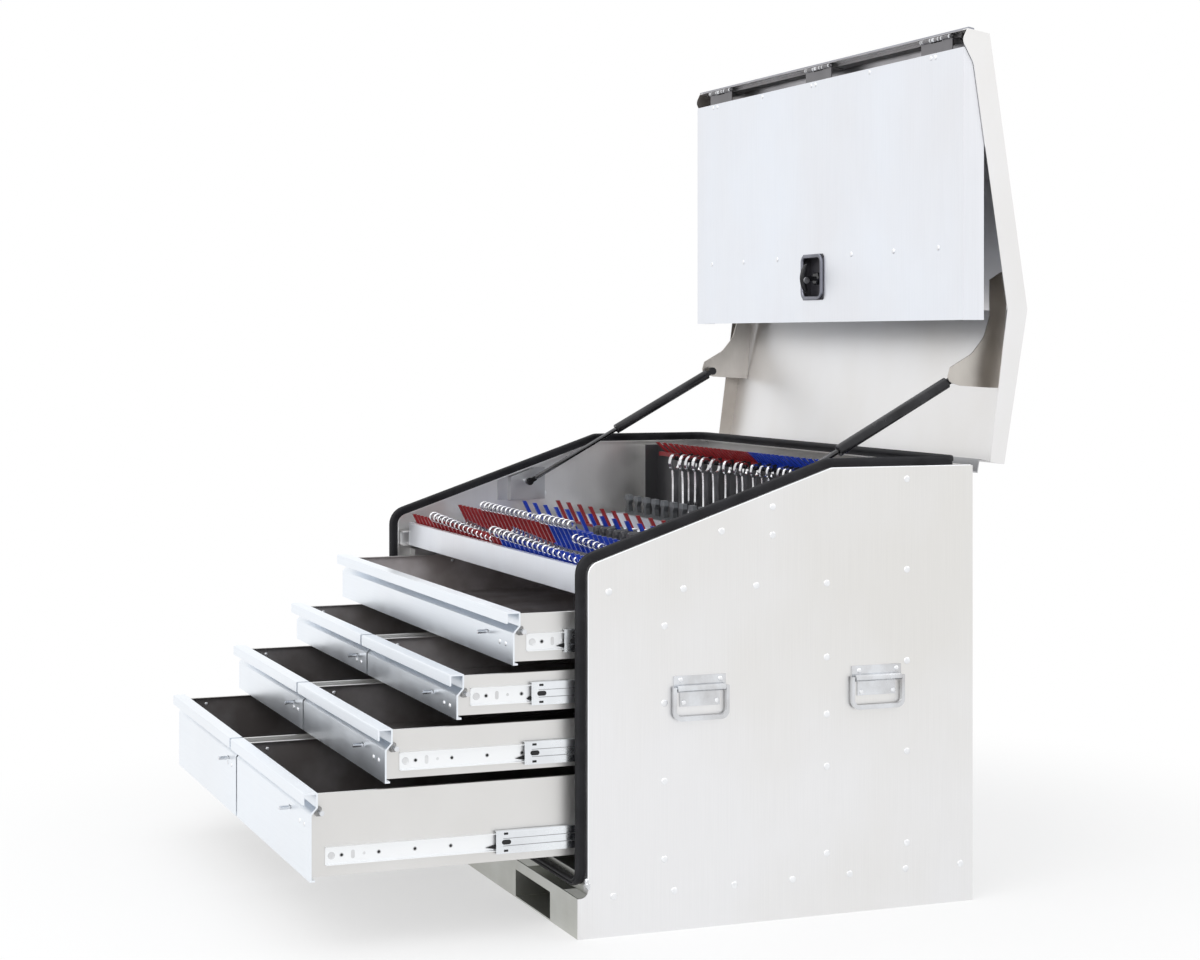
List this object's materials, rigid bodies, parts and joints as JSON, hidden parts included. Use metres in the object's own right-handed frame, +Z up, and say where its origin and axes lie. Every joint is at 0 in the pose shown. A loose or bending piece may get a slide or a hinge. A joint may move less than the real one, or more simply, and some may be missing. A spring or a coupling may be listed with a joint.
{
  "type": "tool chest",
  "caption": "Wide aluminium tool chest with a sloped lid on gas struts, a fold-down front door, slide-out drawers, a tool tray and fork pockets.",
  "frame": {"origin": "on the floor under the middle of the cabinet, at the underside of the base's centre bearer", "axes": "+X to the right seen from the front, +Y towards the back, +Z up"},
  "size_m": [1.2516, 1.4045, 1.6467],
  "materials": {
    "sheet_aluminium": "mill finish sheet",
    "extruded_aluminium": "satin extrusion",
    "hinge_aluminium": "mill finish",
    "zinc_steel": "bright zinc plate",
    "bright_metal": "plated",
    "black_rubber": "matte EPDM",
    "black_plastic": "matte",
    "strut_black": "gloss black",
    "strut_rod": "hard chrome",
    "rack_grey": "matte"
  },
  "bodies": {
    "cabinet": {"right_side_panel": "sheet_aluminium", "left_side_panel": "sheet_aluminium", "back_panel": "sheet_aluminium", "base_frame": "sheet_aluminium", "centre_divider": "sheet_aluminium", "runner_posts": "sheet_aluminium", "cabinet_runners": "zinc_steel", "bulb_seal": "black_rubber", "strut_mounts": "hinge_aluminium", "rear_hinge": "hinge_aluminium", "handle_plates": "bright_metal", "tool_board": "sheet_aluminium"},
    "lid": {"lid_shell": "sheet_aluminium", "lid_lip": "black_rubber", "lid_hinge_leaf": "hinge_aluminium", "lid_strut_brackets": "hinge_aluminium", "door_hinge_upper_leaves": "hinge_aluminium", "door_hinge_pins": "hinge_aluminium"},
    "door": {"door_shell": "sheet_aluminium", "door_hinge_lower_leaves": "hinge_aluminium", "latch_dish": "black_plastic"},
    "latch_spindle": {"latch_spindle": "bright_metal"},
    "t_handle": {"t_handle": "bright_metal"},
    "strut_rods": {"strut_rods": "strut_rod"},
    "strut_cylinders": {"strut_cylinders": "strut_black"},
    "tray": {"tool_tray": "sheet_aluminium", "tray_racks": "rack_grey", "plier_rack": "sheet_aluminium"},
    "top_drawer": {"top_drawer_front": "extruded_aluminium", "top_drawer_box": "sheet_aluminium"},
    "top_drawer_slides": {"top_drawer_slides": "zinc_steel"},
    "top_drawer_latch": {"top_drawer_latch": "bright_metal"},
    "second_left_drawer": {"second_left_drawer_front": "extruded_aluminium", "second_left_drawer_box": "sheet_aluminium"},
    "second_left_drawer_slides": {"second_left_drawer_slides": "zinc_steel"},
    "second_left_drawer_latch": {"second_left_drawer_latch": "bright_metal"},
    "second_right_drawer": {"second_right_drawer_front": "extruded_aluminium", "second_right_drawer_box": "sheet_aluminium"},
    "second_right_drawer_slides": {"second_right_drawer_slides": "zinc_steel"},
    "second_right_drawer_latch": {"second_right_drawer_latch": "bright_metal"},
    "third_left_drawer": {"third_left_drawer_front": "extruded_aluminium", "third_left_drawer_box": "sheet_aluminium"},
    "third_left_drawer_slides": {"third_left_drawer_slides": "zinc_steel"},
    "third_left_drawer_latch": {"third_left_drawer_latch": "bright_metal"},
    "third_right_drawer": {"third_right_drawer_front": "extruded_aluminium", "third_right_drawer_box": "sheet_aluminium"},
    "third_right_drawer_slides": {"third_right_drawer_slides": "zinc_steel"},
    "third_right_drawer_latch": {"third_right_drawer_latch": "bright_metal"},
    "bottom_left_drawer": {"bottom_left_drawer_front": "extruded_aluminium", "bottom_left_drawer_box": "sheet_aluminium"},
    "bottom_left_drawer_slides": {"bottom_left_drawer_slides": "zinc_steel"},
    "bottom_left_drawer_latch": {"bottom_left_drawer_latch": "bright_metal"},
    "bottom_right_drawer": {"bottom_right_drawer_front": "extruded_aluminium", "bottom_right_drawer_box": "sheet_aluminium"},
    "bottom_right_drawer_slides": {"bottom_right_drawer_slides": "zinc_steel"},
    "bottom_right_drawer_latch": {"bottom_right_drawer_latch": "bright_metal"},
    "right_front_bail": {"right_front_bail": "bright_metal"},
    "right_rear_bail": {"right_rear_bail": "bright_metal"},
    "left_front_bail": {"left_front_bail": "bright_metal"},
    "left_rear_bail": {"left_rear_bail": "bright_metal"}
  },
  "joints": [
    {"name": "lid_hinge", "type": "hinge", "parent": "cabinet", "child": "lid", "pos_m": [0, 0.408, 0.806], "axis": [-1, 0, 0], "range_deg": [-99.8, 0]},
    {"name": "door_hinge", "type": "hinge", "parent": "lid", "child": "door", "pos_m": [0, 0.37078, 1.63686], "axis": [-1, 0, 0], "range_deg": [0, 189.81]},
    {"name": "latch_turn", "type": "hinge", "parent": "door", "child": "latch_spindle", "pos_m": [-0.008, 0.36368, 1.188], "axis": [0, -1, 0], "range_deg": [0, 90]},
    {"name": "handle_fold", "type": "hinge", "parent": "latch_spindle", "child": "t_handle", "pos_m": [-0.008, 0.37308, 1.188], "axis": [0, 0, 1], "range_deg": [0, 85]},
    {"name": "strut_swing", "type": "hinge", "parent": "lid", "child": "strut_cylinders", "pos_m": [0, 0.375, 0.983], "axis": [-1, 0, 0], "range_deg": [0, 126.6]},
    {"name": "strut_stroke", "type": "slide", "parent": "strut_cylinders", "child": "strut_rods", "axis": [0, 0.8777, 0.4791], "range_m": [0, 0.19947]},
    {"name": "tray_slide", "type": "slide", "parent": "cabinet", "child": "tray", "axis": [0, -1, 0], "range_m": [0, 0.45]},
    {"name": "top_drawer_slide", "type": "slide", "parent": "cabinet", "child": "top_drawer", "axis": [0, -1, 0], "range_m": [-0.13, 0.52]},
    {"name": "top_drawer_members", "type": "slide", "parent": "cabinet", "child": "top_drawer_slides", "axis": [0, -1, 0], "range_m": [-0.065, 0.26]},
    {"name": "top_drawer_latch_lever", "type": "slide", "parent": "top_drawer", "child": "top_drawer_latch", "axis": [-1, 0, 0], "range_m": [0, 0.008], "stiffness_N_per_m": 300},
    {"name": "second_left_drawer_slide", "type": "slide", "parent": "cabinet", "child": "second_left_drawer", "axis": [0, -1, 0], "range_m": [-0.234, 0.416]},
    {"name": "second_left_drawer_members", "type": "slide", "parent": "cabinet", "child": "second_left_drawer_slides", "axis": [0, -1, 0], "range_m": [-0.117, 0.208]},
    {"name": "second_left_drawer_latch_lever", "type": "slide", "parent": "second_left_drawer", "child": "second_left_drawer_latch", "axis": [-1, 0, 0], "range_m": [0, 0.008], "stiffness_N_per_m": 300},
    {"name": "second_right_drawer_slide", "type": "slide", "parent": "cabinet", "child": "second_right_drawer", "axis": [0, -1, 0], "range_m": [-0.234, 0.416]},
    {"name": "second_right_drawer_members", "type": "slide", "parent": "cabinet", "child": "second_right_drawer_slides", "axis": [0, -1, 0], "range_m": [-0.117, 0.208]},
    {"name": "second_right_drawer_latch_lever", "type": "slide", "parent": "second_right_drawer", "child": "second_right_drawer_latch", "axis": [-1, 0, 0], "range_m": [0, 0.008], "stiffness_N_per_m": 300},
    {"name": "third_left_drawer_slide", "type": "slide", "parent": "cabinet", "child": "third_left_drawer", "axis": [0, -1, 0], "range_m": [-0.363, 0.287]},
    {"name": "third_left_drawer_members", "type": "slide", "parent": "cabinet", "child": "third_left_drawer_slides", "axis": [0, -1, 0], "range_m": [-0.1815, 0.1435]},
    {"name": "third_left_drawer_latch_lever", "type": "slide", "parent": "third_left_drawer", "child": "third_left_drawer_latch", "axis": [-1, 0, 0], "range_m": [0, 0.008], "stiffness_N_per_m": 300},
    {"name": "third_right_drawer_slide", "type": "slide", "parent": "cabinet", "child": "third_right_drawer", "axis": [0, -1, 0], "range_m": [-0.363, 0.287]},
    {"name": "third_right_drawer_members", "type": "slide", "parent": "cabinet", "child": "third_right_drawer_slides", "axis": [0, -1, 0], "range_m": [-0.1815, 0.1435]},
    {"name": "third_right_drawer_latch_lever", "type": "slide", "parent": "third_right_drawer", "child": "third_right_drawer_latch", "axis": [-1, 0, 0], "range_m": [0, 0.008], "stiffness_N_per_m": 300},
    {"name": "bottom_left_drawer_slide", "type": "slide", "parent": "cabinet", "child": "bottom_left_drawer", "axis": [0, -1, 0], "range_m": [-0.495, 0.155]},
    {"name": "bottom_left_drawer_members", "type": "slide", "parent": "cabinet", "child": "bottom_left_drawer_slides", "axis": [0, -1, 0], "range_m": [-0.2475, 0.0775]},
    {"name": "bottom_left_drawer_latch_lever", "type": "slide", "parent": "bottom_left_drawer", "child": "bottom_left_drawer_latch", "axis": [-1, 0, 0], "range_m": [0, 0.008], "stiffness_N_per_m": 300},
    {"name": "bottom_right_drawer_slide", "type": "slide", "parent": "cabinet", "child": "bottom_right_drawer", "axis": [0, -1, 0], "range_m": [-0.495, 0.155]},
    {"name": "bottom_right_drawer_members", "type": "slide", "parent": "cabinet", "child": "bottom_right_drawer_slides", "axis": [0, -1, 0], "range_m": [-0.2475, 0.0775]},
    {"name": "bottom_right_drawer_latch_lever", "type": "slide", "parent": "bottom_right_drawer", "child": "bottom_right_drawer_latch", "axis": [-1, 0, 0], "range_m": [0, 0.008], "stiffness_N_per_m": 300},
    {"name": "right_front_bail_swing", "type": "hinge", "parent": "cabinet", "child": "right_front_bail", "pos_m": [0.6192, 0, 0.433], "axis": [0, -1, 0], "range_deg": [0, 95]},
    {"name": "right_rear_bail_swing", "type": "hinge", "parent": "cabinet", "child": "right_rear_bail", "pos_m": [0.6192, 0, 0.433], "axis": [0, -1, 0], "range_deg": [0, 95]},
    {"name": "left_front_bail_swing", "type": "hinge", "parent": "cabinet", "child": "left_front_bail", "pos_m": [-0.6192, 0, 0.433], "axis": [0, 1, 0], "range_deg": [0, 95]},
    {"name": "left_rear_bail_swing", "type": "hinge", "parent": "cabinet", "child": "left_rear_bail", "pos_m": [-0.6192, 0, 0.433], "axis": [0, 1, 0], "range_deg": [0, 95]}
  ],
  "couplings": [
    {"joint": "door_hinge", "follows": "lid_hinge", "ratio": -1.9018},
    {"joint": "strut_swing", "follows": "lid_hinge", "ratio": -1.2684},
    {"joint": "strut_stroke", "follows": "lid_hinge", "m_per_rad": -0.11449},
    {"joint": "top_drawer_members", "follows": "top_drawer_slide", "ratio": 0.5},
    {"joint": "second_left_drawer_members", "follows": "second_left_drawer_slide", "ratio": 0.5},
    {"joint": "second_right_drawer_members", "follows": "second_right_drawer_slide", "ratio": 0.5},
    {"joint": "third_left_drawer_members", "follows": "third_left_drawer_slide", "ratio": 0.5},
    {"joint": "third_right_drawer_members", "follows": "third_right_drawer_slide", "ratio": 0.5},
    {"joint": "bottom_left_drawer_members", "follows": "bottom_left_drawer_slide", "ratio": 0.5},
    {"joint": "bottom_right_drawer_members", "follows": "bottom_right_drawer_slide", "ratio": 0.5}
  ]
}
